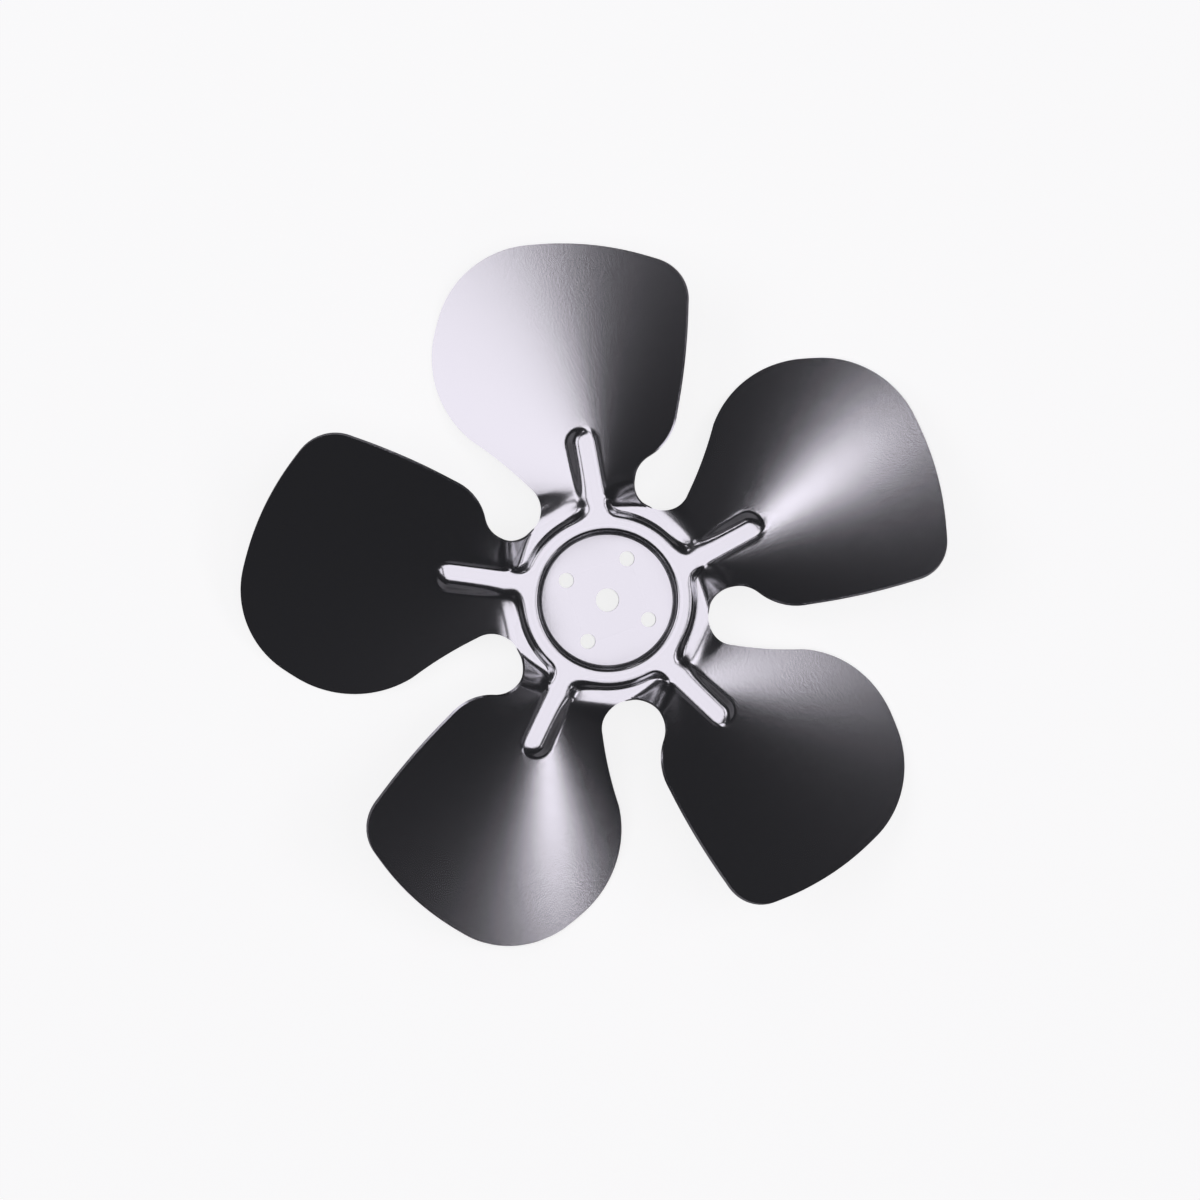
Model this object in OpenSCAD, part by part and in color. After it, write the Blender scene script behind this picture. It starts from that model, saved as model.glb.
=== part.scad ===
// Five-bladed fan, blanked and pressed from one piece of aluminium sheet.
// The origin is the centre of the bore on the rear face of the hub disc, and +Z is the fan's axis.
// Each blade is drawn in its own frame: X runs out along its rib, and Y runs round to its low edge.

/* [Fan] */
// Diameter over the blade tips
fan_d = 200; // [190:1:230]
// Number of blades
blades = 5; // [3:1:5]
// Direction of the first rib, in degrees from +X
first_rib = 100.6; // [0:0.1:360]
// Thickness of the sheet
sheet_t = 1; // [0.8:0.05:1.2]

/* [Hub] */
// Diameter of the shaft bore
bore_d = 6.35; // [4:0.05:8]
// Diameter of each bolt hole
bolt_d = 4.1; // [3:0.1:5]
// Diameter of the circle through the bolt holes
bolt_circle = 25; // [20:0.5:28]
// Number of bolt holes
bolts = 4; // [2:1:6]
// Direction of the first bolt hole, in degrees from +X
first_bolt = 64.6; // [0:0.1:360]
// Diameter of the flat hub disc
disc_d = 35.8; // [34:0.1:37]
// Width of the sloping wall round the disc, seen from the front
wall_run = 1.9; // [1.6:0.1:2.2]
// Height of the raised ring and of the ribs above the disc
ring_rise = 2; // [1.5:0.1:2.4]
// Outer diameter of the flat top of the raised ring
ring_d = 45; // [44:0.1:46]
// Width of the sloping shoulder outside the ring, seen from the front
shoulder_run = 2.2; // [2:0.1:2.6]
// Height of the blade roots above the disc
root_rise = 0.3; // [0:0.05:0.6]

/* [Ribs] */
// Distance from the axis to the end of a rib's flat top
rib_reach = 45.3; // [40:0.1:50]
// Width of a rib's flat top
rib_top_w = 3.6; // [3:0.1:4.2]
// Distance from the blade's centre line to the middle of the rib, towards the high edge
rib_shift = 2; // [1.5:0.1:2.5]
// Width of a rib's tall flank, on the low side of the blade
rib_low_run = 3.7; // [3:0.1:4.5]
// Width of a rib's short flank, on the high side of the blade
rib_high_run = 1.8; // [1.6:0.1:2.2]
// Length of the slope at a rib's outer end
rib_end_run = 2.9; // [2.4:0.1:3.4]
// Roundness of the corner between a rib and the ring
rib_flare = 1.6; // [1:0.1:2.2]

/* [Blade form] */
// Pitch of the blade at its centre line, in degrees
pitch = 28; // [20:0.5:32]
// Hollow of the blade: how much its slope eases from the high edge to the low edge
camber = 0.28; // [0.1:0.01:0.35]
// Distance from the axis to the point from which the blade's bend fans out
bend_out = 30; // [26:0.5:36]
// Distance of that point from the centre line, towards the high edge
bend_side = 5; // [3:0.5:7]
// Length over which the root reaches full pitch beside the rib
root_run_in = 5.5; // [4.5:0.1:7]
// Length over which the root reaches full pitch beside the slot
root_run_out = 10; // [8:0.1:12]

/* [Blade outline] */
// Distance from the axis to the inner end of the slots between the blades
slot_r = 28; // [27.5:0.1:29]
// Radius of the slot's round end
slot_round = 7.5; // [6.8:0.1:7.8]
// Corner where the slot's end turns into the low edge: distance out along the centre line
low_root_out = 28.3; // [27.5:0.1:29]
// Same corner: distance from the centre line
low_root_side = 10.3; // [9.5:0.1:11]
// First corner of the round low edge: distance in from the tip circle
low_edge_in = 35.4; // [32:0.1:38]
// Same corner: distance from the centre line
low_edge_side = 40.2; // [38:0.1:42]
// Radius that rounds this corner
low_edge_round = 30; // [26:0.5:31]
// Corner between the low edge and the tip: distance out from the tip circle
low_tip_out = 2; // [1:0.1:3]
// Same corner: distance from the centre line
low_tip_side = 22.3; // [21:0.1:24]
// Radius that rounds this corner
low_tip_round = 26; // [22:0.5:28]
// Shallow corner at the tip: distance in from the tip circle
tip_in = 3; // [2:0.1:4]
// Same corner: distance from the centre line, to the high side
tip_side = 13.4; // [12:0.1:15]
// Radius that rounds this corner
tip_round = 74; // [60:1:80]
// Corner between the tip and the high edge: distance in from the tip circle
high_tip_in = 16.8; // [15:0.1:18]
// Same corner: distance from the centre line
high_tip_side = 36.6; // [35:0.1:38]
// Radius that rounds this corner
high_tip_round = 12; // [10:0.1:14]
// Inner corner of the high edge: distance out along the centre line
heel_out = 39.2; // [38.5:0.1:41]
// Same corner: distance from the centre line
heel_side = 24.1; // [23.5:0.1:25]
// Radius that rounds this corner
heel_round = 14.5; // [12:0.1:15]
// Corner where the slot's end turns into the high edge: distance out along the centre line
high_root_out = 30.9; // [30.4:0.1:32]
// Same corner: distance from the centre line
high_root_side = 3.4; // [3:0.1:4.5]

/* [Hidden] */

sector = 360 / blades;
slot_angle = sector / 2;
tip_r = fan_d / 2;
disc_r = disc_d / 2;
ring_in_r = disc_r + wall_run;
ring_r = ring_d / 2;
foot_r = ring_r + shoulder_run;

// The turned hub ends a little outside the circle where the pressed sheet starts
seam_r = (ring_in_r + ring_r) / 2;
seam_lap = 0.3;

// Share of a slope that is taken up by the bend at each of its ends
bend_share = 0.45;
root_bend_share = 0.35;
// Bend share of a step that has no straight middle
all_bend = 0.5;
// Step for the slopes of the surface
nudge = 0.001;
// Largest turn between two points of a rounded corner, in degrees
arc_step = 6;
// Length in the outline that counts as much as one radian of turn
turn_length = 6;
// How much closer the rows lie at the slot than at the tip
row_crowding = 1.25;
// How fast the rows lose the tip's own curve on the way in
bulge_fading = 3;
// Cells across a blade on each side of the rib and on its tall flank
high_columns = 6;
low_columns = 7;
low_flank_cells = 3;
// Cells out along the ring's shoulder, along the rib and beyond it, and points up the hub's wall
shoulder_rows = 3;
rib_rows = 10;
tip_rows = 9;
wall_steps = 8;
// Sides of the round faces in a preview
hub_sides = 120;
hole_sides = 48;

// Smooth step from 0 to 1 with a straight middle, and a bend of the given share at each end
function ramp(t, share) =
    let (m = 1 / (1 - share))
    t <= 0 ? 0
    : t >= 1 ? 1
    : t < share ? m * t * t / (2 * share)
    : t > 1 - share ? 1 - m * (1 - t) * (1 - t) / (2 * share)
    : m * (t - share / 2);

function mix(a, b, t) = a + (b - a) * t;
function unit(v) = v / norm(v);

// Smaller of two values, with the corner between them rounded
function soft_min(a, b, k) =
    let (u = max(k - abs(a - b), 0) / k)
    min(a, b) - u * u * k / 4;

// Height of the blade's own surface: a pitched plane with a hollow that fans out from one point
function pitched(p) =
    let (q = p - [bend_out, -bend_side])
    -tan(pitch) * p.y + camber * (norm(q) - q.x);

// Height of the sheet round the ring and over the blade, before the ribs are pressed into it
function unribbed(p) =
    let (
        side = abs(atan2(p.y, p.x)) / slot_angle,
        fold_r = mix(foot_r, slot_r, side * side),
        run = mix(root_run_in, root_run_out, side)
    )
    root_rise + ramp((norm(p) - fold_r) / run, root_bend_share) * (pitched(p) - root_rise);

// Place on the rib's slopes: 0 at the edge of its flat top, and 1 at its foot
function rib_slope(p) =
    let (
        q = p + [rib_top_w / 2 - rib_reach, rib_shift],
        side_run = q.y > 0 ? rib_low_run : rib_high_run,
        turn = q.x > 0 ? atan2(q.x, abs(q.y)) : 0,
        run = mix(side_run, rib_end_run, pow(sin(turn), 2)),
        away = q.x > 0 ? norm(q) : abs(q.y)
    )
    (away - rib_top_w / 2) / run;

// Height of the sheet's middle surface over its place in the blade's frame
function middle(p) =
    let (
        ring_slope = (norm(p) - ring_r) / shoulder_run,
        down = ramp(soft_min(ring_slope, rib_slope(p), rib_flare), bend_share)
    )
    sheet_t / 2 + mix(ring_rise, unribbed(p), down);

// Point on the front face (side 1) or the rear face (side -1), half a thickness off the middle
function face_point(p, side) =
    let (
        slope_x = (middle(p + [nudge, 0]) - middle(p - [nudge, 0])) / (2 * nudge),
        slope_y = (middle(p + [0, nudge]) - middle(p - [0, nudge])) / (2 * nudge)
    )
    [p.x, p.y, middle(p)] + side * sheet_t / 2 * unit([-slope_x, -slope_y, 1]);

function polar(r, a) = r * [cos(a), sin(a)];

// Outline of a blade from one slot's end over the tip to the next slot's end, low edge first
corners = [
    polar(slot_r, slot_angle),
    [low_root_out, low_root_side],
    [tip_r - low_edge_in, low_edge_side],
    [tip_r + low_tip_out, low_tip_side],
    [tip_r - tip_in, -tip_side],
    [tip_r - high_tip_in, -high_tip_side],
    [heel_out, -heel_side],
    [high_root_out, -high_root_side],
    polar(slot_r, -slot_angle)
];
rounds = [
    0, slot_round, low_edge_round, low_tip_round, tip_round, high_tip_round, heel_round, slot_round, 0
];
last = len(corners) - 1;

function half_angle(i) =
    acos(unit(corners[i - 1] - corners[i]) * unit(corners[i + 1] - corners[i])) / 2;

// Length of each side that its rounded corner takes up, shared out where two corners would meet
wanted = [for (i = [0:last]) i == 0 || i == last ? 0 : rounds[i] / tan(half_angle(i))];
function shared(i, other) =
    norm(corners[i] - corners[other]) * wanted[i] / (wanted[i] + wanted[other]);
reaches = [for (i = [0:last]) i == 0 || i == last ? 0 : min(wanted[i], shared(i, i - 1), shared(i, i + 1))];

// Points of one corner, rounded by an arc that meets both of its sides
function round_corner(i) =
    let (
        u = unit(corners[i - 1] - corners[i]),
        v = unit(corners[i + 1] - corners[i]),
        half = half_angle(i),
        centre = corners[i] + unit(u + v) * reaches[i] / cos(half),
        start = corners[i] + u * reaches[i] - centre,
        turn = (cross(u, v) > 0 ? -1 : 1) * (180 - 2 * half),
        steps = 2 * max(ceil(abs(turn) / arc_step / 2), 1)
    )
    [for (k = [0:steps]) let (a = turn * k / steps)
        centre + [start.x * cos(a) - start.y * sin(a), start.x * sin(a) + start.y * cos(a)]];
arcs = [for (i = [1:last - 1]) round_corner(i)];

// The outline as the four sides of a patch: the slot circle, the low edge, the tip and the high edge
high_tip_arc = arcs[4];
arc_middle = (len(high_tip_arc) - 1) / 2;
low_side = [corners[0], each arcs[0], each arcs[1], arcs[2][0]];
tip_line = [each arcs[2], each arcs[3], for (i = [0:arc_middle]) high_tip_arc[i]];
high_side = [
    corners[last],
    for (arc = [arcs[6], arcs[5]]) for (i = [len(arc) - 1:-1:0]) arc[i],
    for (i = [len(high_tip_arc) - 1:-1:arc_middle]) high_tip_arc[i]
];

// Running measure along a line, in which a turn counts as well as a length
function turn_at(line, i) =
    i < 1 || i > len(line) - 2 ? 0
    : acos(min(unit(line[i] - line[i - 1]) * unit(line[i + 1] - line[i]), 1)) * PI / 180;
function measure(line) = [
    for (i = 0, sum = 0; i < len(line); i = i + 1,
        sum = i < len(line)
            ? sum + norm(line[i] - line[i - 1]) + turn_length * (turn_at(line, i - 1) + turn_at(line, i)) / 2
            : sum)
    sum
];
function along(line, marks, share) =
    let (at = share * marks[len(marks) - 1])
    [lookup(at, [for (i = [0:len(line) - 1]) [marks[i], line[i].x]]),
     lookup(at, [for (i = [0:len(line) - 1]) [marks[i], line[i].y]])];
low_marks = measure(low_side);
high_marks = measure(high_side);

// Distance from the axis to the tip line in a direction
tip_table = [for (p = tip_line) [atan2(p.y, p.x), norm(p)]];
low_tip = low_side[len(low_side) - 1];
high_tip = high_side[len(high_side) - 1];
tip_x = lookup(0, tip_table);
function tip_bulge(s) =
    let (
        end = s > 0 ? low_tip : high_tip,
        a = abs(s) * atan2(end.y, end.x)
    )
    lookup(a, tip_table) - mix(tip_x, norm(end), s * s);

// Side places of the columns that run beside the rib
rib_middle = -rib_shift;
rib_sides = [
    rib_middle - rib_top_w / 2 - rib_high_run,
    rib_middle - rib_top_w / 2,
    rib_middle + rib_top_w / 2,
    for (k = [1:low_flank_cells]) rib_middle + rib_top_w / 2 + rib_low_run * k / low_flank_cells
];
rib_columns = len(rib_sides) - 1;
columns = high_columns + rib_columns + low_columns;
rib_end = rib_reach + rib_end_run;

// Share of the way from the centre line to an edge at which column j lies, -1 at the high edge
function column_share(j, x, low, high) =
    let (
        k = j - high_columns,
        rib = [for (y = rib_sides) asin(y / x) / (y < 0 ? high : low)],
        beside = k <= 0 ? mix(-1, rib[0], j / high_columns)
            : k >= rib_columns ? mix(rib[rib_columns], 1, (k - rib_columns) / low_columns)
            : rib[k],
        even = 2 * j / columns - 1
    )
    mix(beside, even, ramp((x - rib_end) / (tip_x - rib_end), all_bend));

// Points of the row that crosses the centre line at x, from the high edge to the low edge
function row_points(x, low_edge, high_edge, bulge) =
    let (
        low = atan2(low_edge.y, low_edge.x),
        high = -atan2(high_edge.y, high_edge.x)
    )
    [for (j = [0:columns]) let (s = column_share(j, x, low, high))
        polar(mix(x, norm(s > 0 ? low_edge : high_edge), s * s) + bulge * tip_bulge(s),
              s * (s > 0 ? low : high))];

// Rows of the ring, which run all the way round, and rows of one blade
ring_radii = [
    seam_r,
    for (k = [0:shoulder_rows]) mix(ring_r, foot_r, k / shoulder_rows),
    (foot_r + slot_r) / 2,
    slot_r
];
ring_rows = [for (r = ring_radii) row_points(r, polar(r, slot_angle), polar(r, -slot_angle), 0)];
blade_radii = [
    for (k = [1:rib_rows]) mix(slot_r, rib_end, k / rib_rows),
    for (k = [1:tip_rows]) mix(rib_end, tip_x, k / tip_rows)
];
blade_rows = [
    for (x = blade_radii)
    let (share = (x - slot_r) / (tip_x - slot_r), t = pow(share, row_crowding))
    row_points(x, along(low_side, low_marks, t), along(high_side, high_marks, t), pow(share, bulge_fading))
];

// Points of one face of the sheet: the ring's rows, and then each blade's rows
function turned(p, a) = [p.x * cos(a) - p.y * sin(a), p.x * sin(a) + p.y * cos(a), p.z];
function face_points(side) = [
    for (row = ring_rows) for (k = [0:blades - 1]) for (j = [0:columns - 1])
        turned(face_point(row[j], side), k * sector),
    for (k = [0:blades - 1]) for (row = blade_rows) for (p = row)
        turned(face_point(p, side), k * sector)
];

// Numbers of those points
around = blades * columns;
ring_count = len(ring_rows);
row_count = len(blade_rows);
rear = ring_count * around + blades * row_count * (columns + 1);
function ring_at(i, j) = i * around + j % around;
function blade_at(k, i, j) =
    i == 0 ? ring_at(ring_count - 1, k * columns + j)
    : ring_count * around + (k * row_count + i - 1) * (columns + 1) + j;

// Two triangles for a patch of the front, the same patch of the rear, or a stretch of the cut edge
function front_patch(a, b, c, d) = [[a, b, c], [a, c, d]];
function rear_patch(a, b, c, d) = [[a + rear, c + rear, b + rear], [a + rear, d + rear, c + rear]];
function edge_patch(a, b) = [[b, a, a + rear], [b, a + rear, b + rear]];
patches = [
    for (i = [0:ring_count - 2]) for (j = [0:around - 1])
        [ring_at(i, j), ring_at(i, j + 1), ring_at(i + 1, j + 1), ring_at(i + 1, j)],
    for (k = [0:blades - 1]) for (i = [0:row_count - 1]) for (j = [0:columns - 1])
        [blade_at(k, i, j), blade_at(k, i, j + 1), blade_at(k, i + 1, j + 1), blade_at(k, i + 1, j)]
];
edges = [
    for (j = [0:around - 1]) [ring_at(0, j), ring_at(0, j + 1)],
    for (k = [0:blades - 1]) for (i = [0:row_count - 1]) each [
        [blade_at(k, i + 1, 0), blade_at(k, i, 0)],
        [blade_at(k, i, columns), blade_at(k, i + 1, columns)]
    ],
    for (k = [0:blades - 1]) for (j = [0:columns - 1])
        [blade_at(k, row_count, j + 1), blade_at(k, row_count, j)]
];

// Raised ring, ribs and blades: a sheet of even thickness pressed over the middle surface
module pressed_sheet() {
    polyhedron(
        points = [each face_points(1), each face_points(-1)],
        faces = [
            for (p = patches) each front_patch(p[0], p[1], p[2], p[3]),
            for (p = patches) each rear_patch(p[0], p[1], p[2], p[3]),
            for (e = edges) each edge_patch(e[0], e[1])
        ],
        convexity = 10
    );
}

// Point of the hub's profile at a share t of the way up the wall, on its front (side 1) or rear (side -1)
function wall_point(t, side) =
    let (steepness = min(t, 1 - t, bend_share) / bend_share / (1 - bend_share))
    [disc_r + wall_run * t, sheet_t / 2 + ring_rise * ramp(t, bend_share)]
        + side * sheet_t / 2 * unit([-ring_rise / wall_run * steepness, 1]);

// Hub disc and the wall up to the raised ring, turned about the axis
module hub() {
    rotate_extrude($fn = hub_sides)
        polygon([
            [0, sheet_t],
            for (k = [0:wall_steps]) wall_point(k / wall_steps, 1),
            [seam_r + seam_lap, ring_rise + sheet_t],
            [seam_r + seam_lap, ring_rise],
            for (k = [wall_steps:-1:0]) wall_point(k / wall_steps, -1),
            [0, 0]
        ]);
}

// Through hole in the hub disc
module hole(d) {
    translate([0, 0, -sheet_t])
        cylinder(d = d, h = 3 * sheet_t, $fn = hole_sides);
}

module fan_blade() {
    color([0.80, 0.80, 0.82])
        difference() {
            rotate([0, 0, first_rib])
                union() {
                    hub();
                    pressed_sheet();
                }
            hole(bore_d);
            for (k = [0:bolts - 1])
                rotate([0, 0, first_bolt + k * 360 / bolts])
                    translate([bolt_circle / 2, 0, 0])
                        hole(bolt_d);
        }
}

fan_blade();
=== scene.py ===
import math

import bmesh
import bpy
import numpy as np
from mathutils import Matrix, Vector


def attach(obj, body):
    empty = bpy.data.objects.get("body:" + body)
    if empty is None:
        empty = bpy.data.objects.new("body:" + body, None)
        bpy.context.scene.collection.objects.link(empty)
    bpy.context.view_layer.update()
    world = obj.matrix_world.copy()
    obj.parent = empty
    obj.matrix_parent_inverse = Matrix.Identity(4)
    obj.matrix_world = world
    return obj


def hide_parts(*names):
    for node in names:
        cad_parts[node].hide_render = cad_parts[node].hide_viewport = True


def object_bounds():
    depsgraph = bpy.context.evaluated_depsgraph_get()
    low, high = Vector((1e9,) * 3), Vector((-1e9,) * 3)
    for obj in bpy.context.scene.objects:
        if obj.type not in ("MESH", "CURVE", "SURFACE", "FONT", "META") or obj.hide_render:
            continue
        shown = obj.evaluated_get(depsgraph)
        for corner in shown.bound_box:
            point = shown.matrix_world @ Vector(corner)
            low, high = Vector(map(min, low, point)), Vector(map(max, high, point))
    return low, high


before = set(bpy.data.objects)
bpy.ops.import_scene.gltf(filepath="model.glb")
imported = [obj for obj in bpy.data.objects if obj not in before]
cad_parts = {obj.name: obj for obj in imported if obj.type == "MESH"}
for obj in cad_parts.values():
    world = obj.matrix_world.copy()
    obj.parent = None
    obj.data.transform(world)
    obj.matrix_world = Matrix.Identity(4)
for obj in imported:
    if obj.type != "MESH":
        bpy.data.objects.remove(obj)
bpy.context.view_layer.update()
scene = bpy.context.scene


# Blank: the flat outline of hub and blades, as it is cut from 1 mm aluminium sheet before pressing.
# One blade is drawn in its own frame in millimetres: x runs out along its rib, and y round to its low edge.
# A grid is laid over it, with rows across the blade and columns that run out beside the rib.
sheet_t = 1
blades = 5
first_rib = 100.6
tip_r = 100
disc_r = 17.9
wall_run = 1.9
ring_rise = 2
ring_r = 22.5
shoulder_run = 2.2
slot_r = 28
sector = 360 / blades
wall_r = disc_r + wall_run
foot_r = ring_r + shoulder_run

rib_reach = 45.3
rib_top_w = 3.6
rib_shift = 2
rib_low_run = 3.7
rib_high_run = 1.8
rib_end_run = 2.9
rib_end = rib_reach + rib_end_run

corners = {
    "low_root": ((28.3, 10.3), 7.5),
    "low_edge": ((tip_r - 35.4, 40.2), 30),
    "low_tip": ((tip_r + 2, 22.3), 26),
    "tip": ((tip_r - 3, -13.4), 74),
    "high_tip": ((tip_r - 16.8, -36.6), 12),
    "heel": ((39.2, -24.1), 14.5),
    "high_root": ((30.9, -3.4), 7.5),
}
arc_step = 2.5


def ramp(t, share):
    """Smooth step from 0 to 1 with a straight middle, and a bend of the given share at each end."""
    t = np.clip(t, 0, 1)
    rise = 1 / (1 - share)
    bend_in = rise * t * t / (2 * share)
    bend_out = 1 - rise * (1 - t) ** 2 / (2 * share)
    return np.where(t < share, bend_in, np.where(t > 1 - share, bend_out, rise * (t - share / 2)))


def mix(a, b, t):
    return a + (b - a) * t


def polar(r, angle):
    return np.array([r * np.cos(angle), r * np.sin(angle)])


def rounded(points, radii):
    """Arcs that round the inner points of a line, each as an array of points."""
    gaps = np.linalg.norm(np.diff(points, axis=0), axis=1)
    ways = np.diff(points, axis=0) / gaps[:, None]
    halves = np.arccos(-np.sum(ways[:-1] * ways[1:], axis=1)) / 2
    wanted = np.r_[0, radii / np.tan(halves), 0]
    shares = gaps / (wanted[:-1] + wanted[1:])
    arcs = []
    for i, half in enumerate(halves, 1):
        reach = min(1, shares[i - 1], shares[i]) * wanted[i]
        to_centre = ways[i] - ways[i - 1]
        centre = points[i] + to_centre / np.linalg.norm(to_centre) * reach / math.cos(half)
        start = points[i] - ways[i - 1] * reach - centre
        turn = math.copysign(math.pi - 2 * half, ways[i - 1][0] * ways[i][1] - ways[i - 1][1] * ways[i][0])
        steps = 2 * max(math.ceil(abs(turn) / math.radians(arc_step) / 2), 1)
        angles = turn * np.arange(steps + 1) / steps
        arcs.append(
            centre
            + np.stack(
                [
                    start[0] * np.cos(angles) - start[1] * np.sin(angles),
                    start[0] * np.sin(angles) + start[1] * np.cos(angles),
                ],
                axis=1,
            )
        )
    return arcs


half_sector = math.radians(sector / 2)
slot_low = polar(slot_r, half_sector)
slot_high = polar(slot_r, -half_sector)
line = np.array([slot_low, *[place for place, _ in corners.values()], slot_high])
arcs = dict(zip(corners, rounded(line, np.array([radius for _, radius in corners.values()]))))
arc_middle = len(arcs["high_tip"]) // 2
low_side = np.vstack([slot_low, arcs["low_root"], arcs["low_edge"], arcs["low_tip"][:1]])
tip_line = np.vstack([arcs["low_tip"], arcs["tip"], arcs["high_tip"][: arc_middle + 1]])
high_side = np.vstack([arcs["high_tip"][arc_middle:], arcs["heel"], arcs["high_root"], slot_high])[::-1]
tip_angles = np.arctan2(tip_line[:, 1], tip_line[:, 0])[::-1]
tip_radii = np.linalg.norm(tip_line, axis=1)[::-1]
tip_x = np.interp(0, tip_angles, tip_radii)


def edge_angle(side, r):
    """Angle from the centre line at which a side of the blade lies at a distance from the axis."""
    return np.interp(r, np.linalg.norm(side, axis=1), np.abs(np.arctan2(side[:, 1], side[:, 0])))


# Rows: up the hub's wall, over the ring to the slots, round the slots' ends, along the rib and out to the tip.
# Round a slot's end they follow its turn in even steps, and towards the tip they lie closer again.
slot_round = 7.5
slot_turns = np.radians(np.linspace(0, 75, 11)[1:])
ring_rows = np.concatenate([
    np.linspace(disc_r, wall_r, 9)[:-1],
    np.linspace(wall_r, ring_r, 4)[:-1],
    np.linspace(ring_r, foot_r, 8)[:-1],
    np.linspace(foot_r, slot_r, 7),
])
slot_rows = slot_r + slot_round * (1 - np.cos(slot_turns))
rib_rows = np.linspace(slot_rows[-1], rib_end, 31)[1:]
tip_crowding = 1.4
tip_rows = mix(tip_x, rib_end, np.linspace(1, 0, 37)[1:] ** tip_crowding)
rows = np.concatenate([ring_rows, slot_rows, rib_rows, tip_rows])
row_share = np.clip((rows - slot_r) / (tip_x - slot_r), 0, 1)
on_blade = rows > slot_r
low_r = np.where(on_blade, mix(slot_r, np.linalg.norm(low_side[-1]), row_share), rows)
high_r = np.where(on_blade, mix(slot_r, np.linalg.norm(high_side[-1]), row_share), rows)
low_angle = np.where(on_blade, edge_angle(low_side, low_r), half_sector)
high_angle = np.where(on_blade, edge_angle(high_side, high_r), half_sector)
bulge_fading = 3
bulges = row_share**bulge_fading

# Columns: six strips beside and on the rib, with the shares of the way to the edge at which they lie
rib_low = -rib_shift + rib_top_w / 2
rib_high = -rib_shift - rib_top_w / 2
rib_sides = np.concatenate([
    np.linspace(rib_high - rib_high_run, rib_high, 6)[:-1],
    np.linspace(rib_high, rib_low, 6)[:-1],
    np.linspace(rib_low, rib_low + rib_low_run, 10),
])
high_columns = 18
low_columns = 20
columns = high_columns + len(rib_sides) - 1 + low_columns
shares = np.empty((len(rows), columns + 1))
for i, x in enumerate(rows):
    rib = np.arcsin(rib_sides / max(x, wall_r))
    rib = np.where(rib < 0, rib / high_angle[i], rib / low_angle[i])
    to_high = mix(rib[0], -1, np.linspace(1, 0, high_columns + 1)[:-1])
    to_low = mix(rib[-1], 1, np.linspace(0, 1, low_columns + 1)[1:])
    beside = np.concatenate([to_high, rib, to_low])
    even = np.linspace(-1, 1, columns + 1)
    shares[i] = mix(beside, even, ramp((x - rib_end) / (tip_x - rib_end), 0.5))

# Each row is an arc that bends a little at its ends to meet the edges, and takes on the tip's curve near it
squares = shares**2
edge_r = np.where(shares > 0, low_r[:, None], high_r[:, None])
tip_ends = np.where(shares > 0, tip_angles[-1], -tip_angles[0])
tip_r_ends = np.where(shares > 0, tip_radii[-1], tip_radii[0])
tip_bulge = np.interp(shares * tip_ends, tip_angles, tip_radii) - mix(tip_x, tip_r_ends, squares)
place_r = mix(rows[:, None], edge_r, squares) + bulges[:, None] * tip_bulge
place_angle = shares * np.where(shares > 0, low_angle[:, None], high_angle[:, None])
blank_x, blank_y = polar(place_r, place_angle)


# Pressing: one hit raises the ring and the ribs, and sets the blades to their pitch with a hollow form.
# The height of the sheet's middle surface is a formula over the place in the blank.
pitch = math.radians(28)
camber = 0.28
bend_out = 30
bend_side = 5
root_rise = 0.3
root_run_in = 5.5
root_run_out = 10
rib_flare = 1.6
bend_share = 0.45
root_bend_share = 0.35


def pressed(x, y):
    """Height of the middle surface over the rear face of the hub disc."""
    r = np.hypot(x, y)
    side = np.abs(np.arctan2(y, x)) / half_sector
    fold_r = mix(foot_r, slot_r, side**2)
    run = mix(root_run_in, root_run_out, side)
    hollow = np.hypot(x - bend_out, y + bend_side) - (x - bend_out)
    pitched = -math.tan(pitch) * y + camber * hollow
    sheet = mix(root_rise, pitched, ramp((r - fold_r) / run, root_bend_share))

    past_end = x + rib_top_w / 2 - rib_reach
    beside = y + rib_shift
    side_run = np.where(beside > 0, rib_low_run, rib_high_run)
    turn = np.where(past_end > 0, np.arctan2(past_end, np.abs(beside)), 0)
    rib_run = mix(side_run, rib_end_run, np.sin(turn) ** 2)
    away = np.where(past_end > 0, np.hypot(past_end, beside), np.abs(beside))
    rib = (away - rib_top_w / 2) / rib_run

    ring = (r - ring_r) / shoulder_run
    blend = np.maximum(rib_flare - np.abs(ring - rib), 0) / rib_flare
    down = np.minimum(ring, rib) - blend**2 * rib_flare / 4
    raised = mix(ring_rise, sheet, ramp(down, bend_share))
    wall = ring_rise * ramp((r - disc_r) / wall_run, bend_share)
    return sheet_t / 2 + np.where(r < wall_r, wall, raised)


mm = 0.001
blank_z = pressed(blank_x, blank_y)
places = np.stack([blank_x, blank_y, blank_z], axis=2).reshape(-1, 3) * mm

# The grid's corners run from -1 to 1, rows along x and columns along y
bm = bmesh.new()
bmesh.ops.create_grid(bm, x_segments=len(rows) - 1, y_segments=columns, size=1)
for vert in bm.verts:
    i = round((vert.co.x + 1) / 2 * (len(rows) - 1))
    j = round((vert.co.y + 1) / 2 * columns)
    vert.co = places[i * (columns + 1) + j]
bmesh.ops.rotate(bm, verts=bm.verts, matrix=Matrix.Rotation(math.radians(first_rib), 3, "Z"))
bmesh.ops.spin(
    bm,
    geom=bm.faces[:],
    axis=(0, 0, 1),
    angle=math.radians(sector * (blades - 1)),
    steps=blades - 1,
    use_duplicate=True,
)
bmesh.ops.remove_doubles(bm, verts=bm.verts, dist=0.01 * mm)

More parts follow.
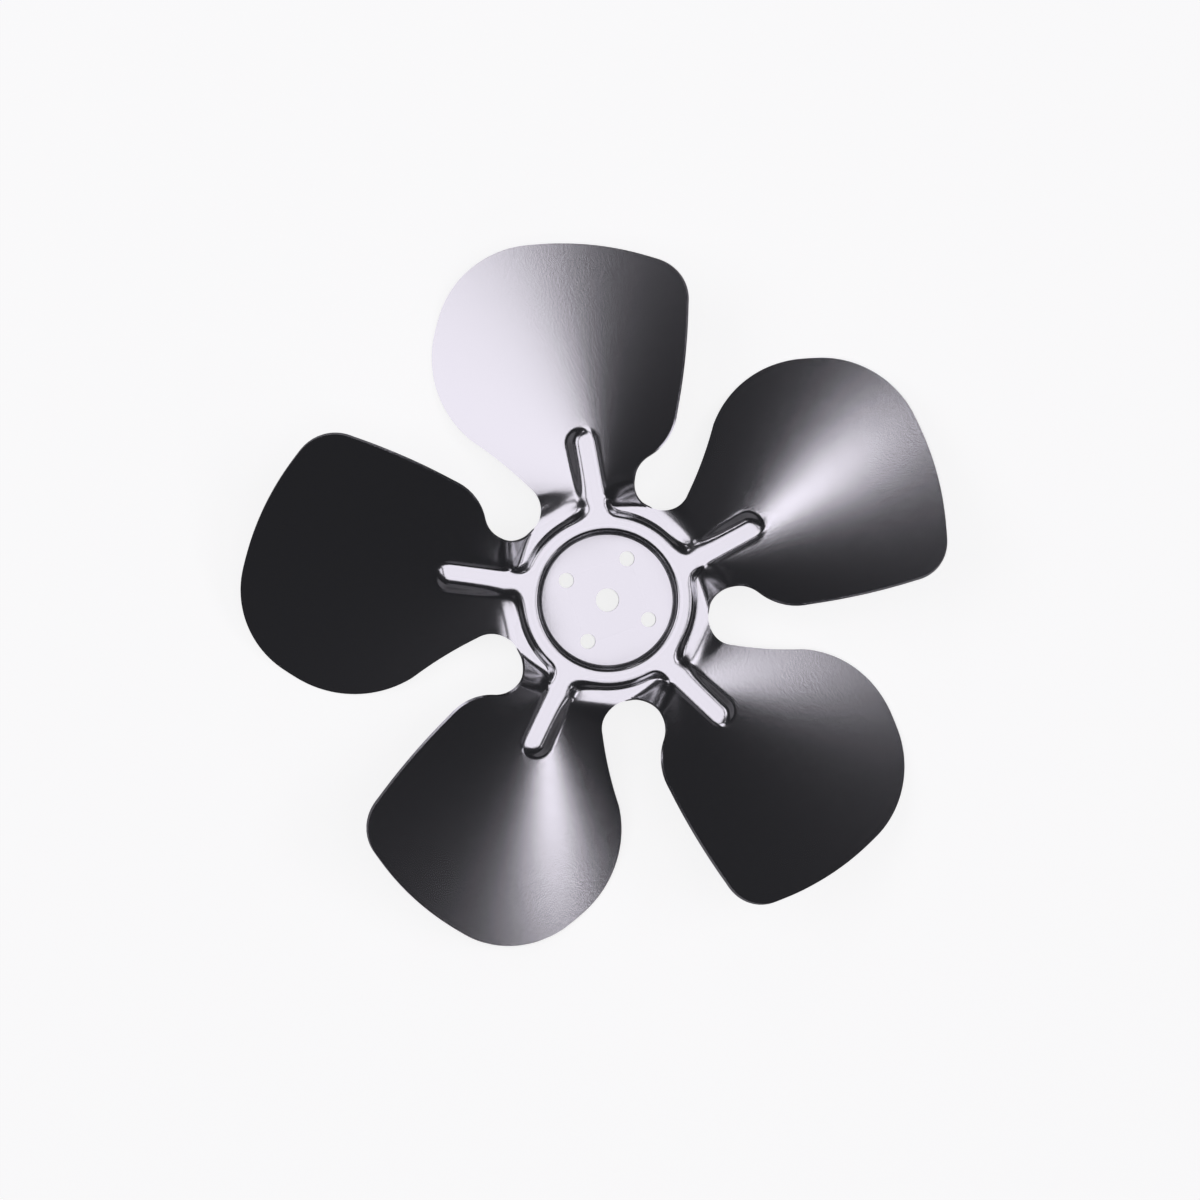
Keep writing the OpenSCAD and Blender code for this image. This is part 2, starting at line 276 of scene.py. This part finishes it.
# Hub disc: flat, with the shaft bore and four bolt holes
bore_d = 6.35
bolt_d = 4.1
bolt_circle = 25
bolts = 4
first_bolt = 64.6
hole_sides = 64
disc_edge = [e for e in bm.edges if e.is_boundary and (e.verts[0].co.xy.length < wall_r * mm)]
holes = [(0, 0, bore_d)]
for k in range(bolts):
    x, y = polar(bolt_circle / 2, math.radians(first_bolt + k * 360 / bolts))
    holes.append((x, y, bolt_d))
for x, y, d in holes:
    centre = Matrix.Translation(Vector((x, y, sheet_t / 2)) * mm)
    ring = bmesh.ops.create_circle(bm, segments=hole_sides, radius=d / 2 * mm, matrix=centre)
    disc_edge += {e for v in ring["verts"] for e in v.link_edges}
bmesh.ops.triangle_fill(bm, edges=disc_edge, use_beauty=True, normal=(0, 0, 1))
bmesh.ops.recalc_face_normals(bm, faces=bm.faces)
if sum(f.normal.z for f in bm.faces) < 0:
    bmesh.ops.reverse_faces(bm, faces=bm.faces)
for face in bm.faces:
    face.smooth = True

mesh = bpy.data.meshes.new("fan_sheet")
bm.to_mesh(mesh)
bm.free()
fan_sheet = bpy.data.objects.new("fan_sheet", mesh)
scene.collection.objects.link(fan_sheet)

thickness = fan_sheet.modifiers.new("thickness", "SOLIDIFY")
thickness.thickness = sheet_t * mm
thickness.offset = 0
thickness.use_even_offset = True
thickness.use_quality_normals = True
cut_edge = fan_sheet.modifiers.new("cut_edge", "BEVEL")
cut_edge.width = 0.12 * mm
cut_edge.segments = 2
cut_edge.limit_method = "ANGLE"
cut_edge.angle_limit = math.radians(60)
cut_edge.harden_normals = True

# Bright mill aluminium: a metal with a fine grain that breaks up its reflections
metal = bpy.data.materials.new("mill_aluminium")
metal.use_nodes = True
nodes = metal.node_tree.nodes
links = metal.node_tree.links
shader = nodes["Principled BSDF"]
shader.inputs["Base Color"].default_value = (0.80, 0.80, 0.82, 1)
shader.inputs["Metallic"].default_value = 1
shader.inputs["Roughness"].default_value = 0.2
coords = nodes.new("ShaderNodeTexCoord")
grain = nodes.new("ShaderNodeTexNoise")
grain.inputs["Scale"].default_value = 1400
grain.inputs["Detail"].default_value = 3
grain.inputs["Roughness"].default_value = 0.6
bump = nodes.new("ShaderNodeBump")
bump.inputs["Strength"].default_value = 0.35
bump.inputs["Distance"].default_value = 0.03 * mm
links.new(coords.outputs["Object"], grain.inputs["Vector"])
links.new(grain.outputs["Fac"], bump.inputs["Height"])
links.new(bump.outputs["Normal"], shader.inputs["Normal"])
mesh.materials.append(metal)

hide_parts("fan_blade")
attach(fan_sheet, "root")


# Floor: a pale plain table top, on which the fan rests on its five low edges.
# The camera sees it as white with a soft shadow, and the metal sees it as a dim table.
floor_size = 6
floor_mesh = bpy.data.meshes.new("floor")
bm = bmesh.new()
bmesh.ops.create_grid(bm, x_segments=1, y_segments=1, size=floor_size / 2)
bm.to_mesh(floor_mesh)
bm.free()
floor = bpy.data.objects.new("floor", floor_mesh)
floor.location.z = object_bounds()[0].z
scene.collection.objects.link(floor)

pale = bpy.data.materials.new("pale_floor")
pale.use_nodes = True
nodes = pale.node_tree.nodes
links = pale.node_tree.links
nodes.remove(nodes["Principled BSDF"])
matt = nodes.new("ShaderNodeBsdfDiffuse")
matt.inputs["Color"].default_value = (0.45, 0.45, 0.45, 1)
glow = nodes.new("ShaderNodeEmission")
glow.inputs["Strength"].default_value = 0.84
both = nodes.new("ShaderNodeAddShader")
seen = nodes.new("ShaderNodeLightPath")
choice = nodes.new("ShaderNodeMixShader")
links.new(matt.outputs["BSDF"], both.inputs[0])
links.new(glow.outputs["Emission"], both.inputs[1])
links.new(seen.outputs["Is Camera Ray"], choice.inputs["Fac"])
links.new(matt.outputs["BSDF"], choice.inputs[1])
links.new(both.outputs["Shader"], choice.inputs[2])
links.new(choice.outputs["Shader"], nodes["Material Output"].inputs["Surface"])
floor_mesh.materials.append(pale)


# Studio: soft boxes above and at two sides, two narrow ones, and a dim room round them.
# Each soft box is given by its direction from the fan, its height angle, its size and its brightness.
lamp_distance = 1.6
soft_boxes = {
    "overhead": (0, 88, 0.9, 0.9, 1.1),
    "west": (166, 54, 0.95, 0.75, 1.15),
    "east": (8, 55, 0.8, 0.5, 1.3),
    "north": (106, 40, 0.2, 0.14, 3.2),
    "south": (325, 41, 0.2, 0.16, 2.6),
}
lamp_tint = (0.96, 0.92, 1.0)
for name, (azimuth, height, width, depth, radiance) in soft_boxes.items():
    lamp = bpy.data.lights.new(name, "AREA")
    lamp.shape = "RECTANGLE"
    lamp.size = width
    lamp.size_y = depth
    lamp.energy = radiance * width * depth * math.pi
    lamp.color = lamp_tint
    box = bpy.data.objects.new(name, lamp)
    a, e = math.radians(azimuth), math.radians(height)
    way = Vector((math.cos(a) * math.cos(e), math.sin(a) * math.cos(e), math.sin(e)))
    box.location = way * lamp_distance
    box.rotation_euler = way.to_track_quat("Z", "Y").to_euler()
    box.visible_camera = False
    scene.collection.objects.link(box)

room = bpy.data.worlds.new("room")
room.use_nodes = True
scene.world = room
nodes = room.node_tree.nodes
links = room.node_tree.links
seen = nodes.new("ShaderNodeLightPath")
backdrop = nodes.new("ShaderNodeMix")
backdrop.data_type = "RGBA"
backdrop.inputs["A"].default_value = (0.018, 0.018, 0.02, 1)
backdrop.inputs["B"].default_value = (1, 1, 1, 1)
links.new(seen.outputs["Is Camera Ray"], backdrop.inputs["Factor"])
links.new(backdrop.outputs["Result"], nodes["Background"].inputs["Color"])


# Camera: nearly straight above the fan, a little to its left, at the photograph's framing.
camera_distance = 0.8
tilt_x = math.radians(0.6)
tilt_y = math.radians(4.75)
framing = Vector((-1.95 * mm, 0, camera_distance))
lens = bpy.data.cameras.new("camera")
lens.lens = 87.6
camera = bpy.data.objects.new("camera", lens)
camera.rotation_euler = (-tilt_x, -tilt_y, 0)
camera.location = camera.rotation_euler.to_matrix() @ framing
scene.collection.objects.link(camera)
scene.camera = camera

scene.view_settings.view_transform = "Standard"
